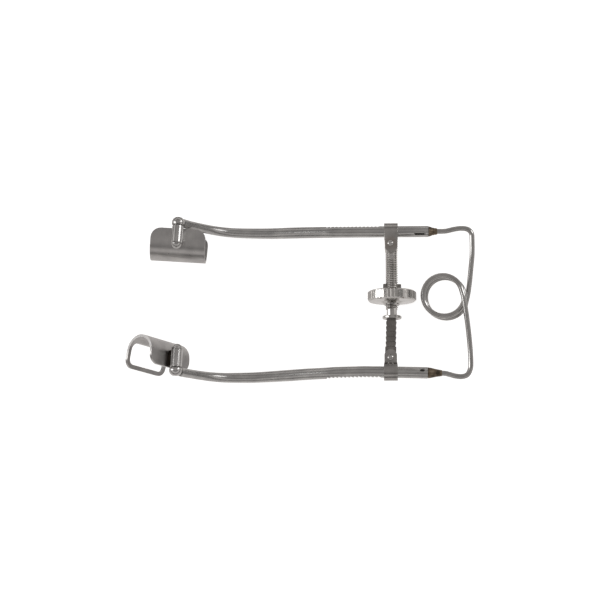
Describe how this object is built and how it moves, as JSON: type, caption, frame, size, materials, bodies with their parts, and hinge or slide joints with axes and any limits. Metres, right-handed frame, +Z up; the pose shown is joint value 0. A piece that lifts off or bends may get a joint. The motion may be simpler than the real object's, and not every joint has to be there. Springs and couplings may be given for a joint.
{
  "type": "cheek retractor",
  "caption": "Self-retaining cheek retractor: toothed arms on a coil spring, a screw spreader with a knurled nut, and swivelling hooked blades.",
  "frame": {"origin": "centre of the bounding box's bottom face, on the table the instrument lies on", "axes": "+X along the arms toward the coil spring, +Y across the arms toward the upper arm, +Z up off the table"},
  "size_m": [0.1056, 0.0494, 0.0206],
  "materials": {
    "arm_steel": "polished stainless with fine lengthwise brushing",
    "spring_wire": "drawn polished stainless wire",
    "polished_strap": "polished stainless with burnished edges",
    "machined_steel": "turned stainless with fine tool marks",
    "blade_steel": "polished stainless with faint mottled brushing",
    "braze_filler": "dull brown brazing filler"
  },
  "bodies": {
    "upper_frame": {"upper_arm": "arm_steel", "coil_spring": "spring_wire", "upper_braze_joint": "braze_filler", "upper_hinge_pin": "blade_steel"},
    "lower_frame": {"lower_arm": "arm_steel", "lower_braze_joint": "braze_filler", "lower_hinge_pin": "blade_steel"},
    "upper_clamp": {"upper_strap": "polished_strap", "upper_rivet": "polished_strap"},
    "lower_clamp": {"lower_strap": "polished_strap", "lower_rivet": "polished_strap"},
    "screw": {"split_screw": "machined_steel", "stop_collar": "machined_steel"},
    "slide_bar": {"notched_bar": "machined_steel"},
    "nut_ring": {"thrust_ring": "machined_steel"},
    "nut": {"knurled_nut": "machined_steel"},
    "upper_hook": {"upper_blade": "blade_steel", "upper_barrel": "blade_steel", "upper_barrel_braze": "braze_filler"},
    "lower_hook": {"lower_blade": "blade_steel", "lower_barrel": "blade_steel", "lower_barrel_braze": "braze_filler"}
  },
  "joints": [
    {"name": "arm_squeeze", "type": "hinge", "parent": "upper_frame", "child": "lower_frame", "pos_m": [0.04325, -0.00042, 0.00742], "axis": [0, 0, 1], "range_deg": [-12, 0], "stiffness_Nm_per_rad": 0.4, "springref_deg": 9.74, "deforming": ["coil_spring"]},
    {"name": "clamp_slide", "type": "slide", "parent": "upper_frame", "child": "upper_clamp", "axis": [-1, 0, 0], "range_m": [0, 0.0125]},
    {"name": "lower_clamp_slide", "type": "slide", "parent": "lower_frame", "child": "lower_clamp", "axis": [-1, 0, 0], "range_m": [0, 0.0125]},
    {"name": "screw_pivot", "type": "hinge", "parent": "upper_clamp", "child": "screw", "pos_m": [0.02705, 0.01714, 0.00742], "axis": [0, 0, 1], "range_deg": [-6, 0]},
    {"name": "bar_pivot", "type": "hinge", "parent": "lower_clamp", "child": "slide_bar", "pos_m": [0.0268, -0.01774, 0.00742], "axis": [0, 0, 1], "range_deg": [0, 6]},
    {"name": "nut_travel", "type": "slide", "parent": "screw", "child": "nut_ring", "axis": [0, -1, 0], "range_m": [0, 0.0027]},
    {"name": "nut_turn", "type": "hinge", "parent": "nut_ring", "child": "nut", "pos_m": [0.02735, 0.00016, 0.00742], "axis": [0, -1, 0], "range_deg": [0, 1389]},
    {"name": "upper_blade_swivel", "type": "hinge", "parent": "upper_frame", "child": "upper_hook", "pos_m": [-0.03715, 0.02321, 0.01562], "axis": [0.061, 0.994, -0.0905], "range_deg": [0, 90]},
    {"name": "lower_blade_swivel", "type": "hinge", "parent": "lower_frame", "child": "lower_hook", "pos_m": [-0.03747, -0.0223, 0.01562], "axis": [0.0436, 0.9949, -0.0905], "range_deg": [-20, 45]}
  ],
  "couplings": [
    {"joint": "lower_clamp_slide", "follows": "clamp_slide", "ratio": 1},
    {"joint": "screw_pivot", "follows": "arm_squeeze", "ratio": 0.5},
    {"joint": "bar_pivot", "follows": "arm_squeeze", "ratio": -0.5},
    {"joint": "nut_turn", "follows": "nut_travel", "rad_per_m": 8976}
  ]
}
